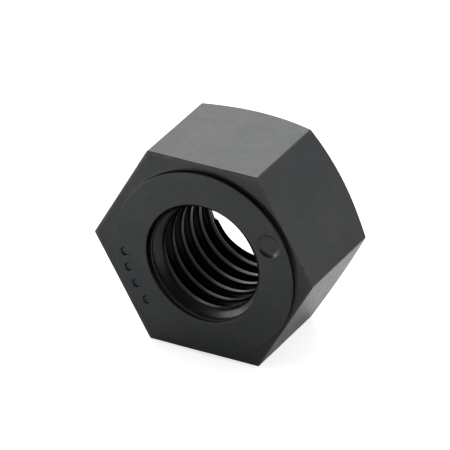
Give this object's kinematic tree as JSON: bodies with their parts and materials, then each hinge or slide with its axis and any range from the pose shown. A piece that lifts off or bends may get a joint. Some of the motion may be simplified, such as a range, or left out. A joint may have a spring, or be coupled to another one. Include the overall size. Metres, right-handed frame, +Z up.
{
  "type": "hex nut",
  "caption": "Thick hexagonal steel nut with a right-hand internal thread, countersunk mouths, a raised round washer face and a chamfered back, in satin black oxide.",
  "frame": {"origin": "on the bore's axis, halfway between the washer face and the back face; the hexagon's middle is 0.5 mm from there, at x -0.42, z +0.27 mm", "axes": "+Y along the bore, from the washer face to the chamfered back; +Z up, square to the top flat; +X to a corner, so the nut stands on its bottom flat"},
  "size_m": [0.0304, 0.0162, 0.0264],
  "materials": {
    "black_oxide_steel": "satin black oxide over machined and forged steel"
  },
  "bodies": {
    "root": {"hex_nut": "black_oxide_steel"}
  },
  "joints": []
}
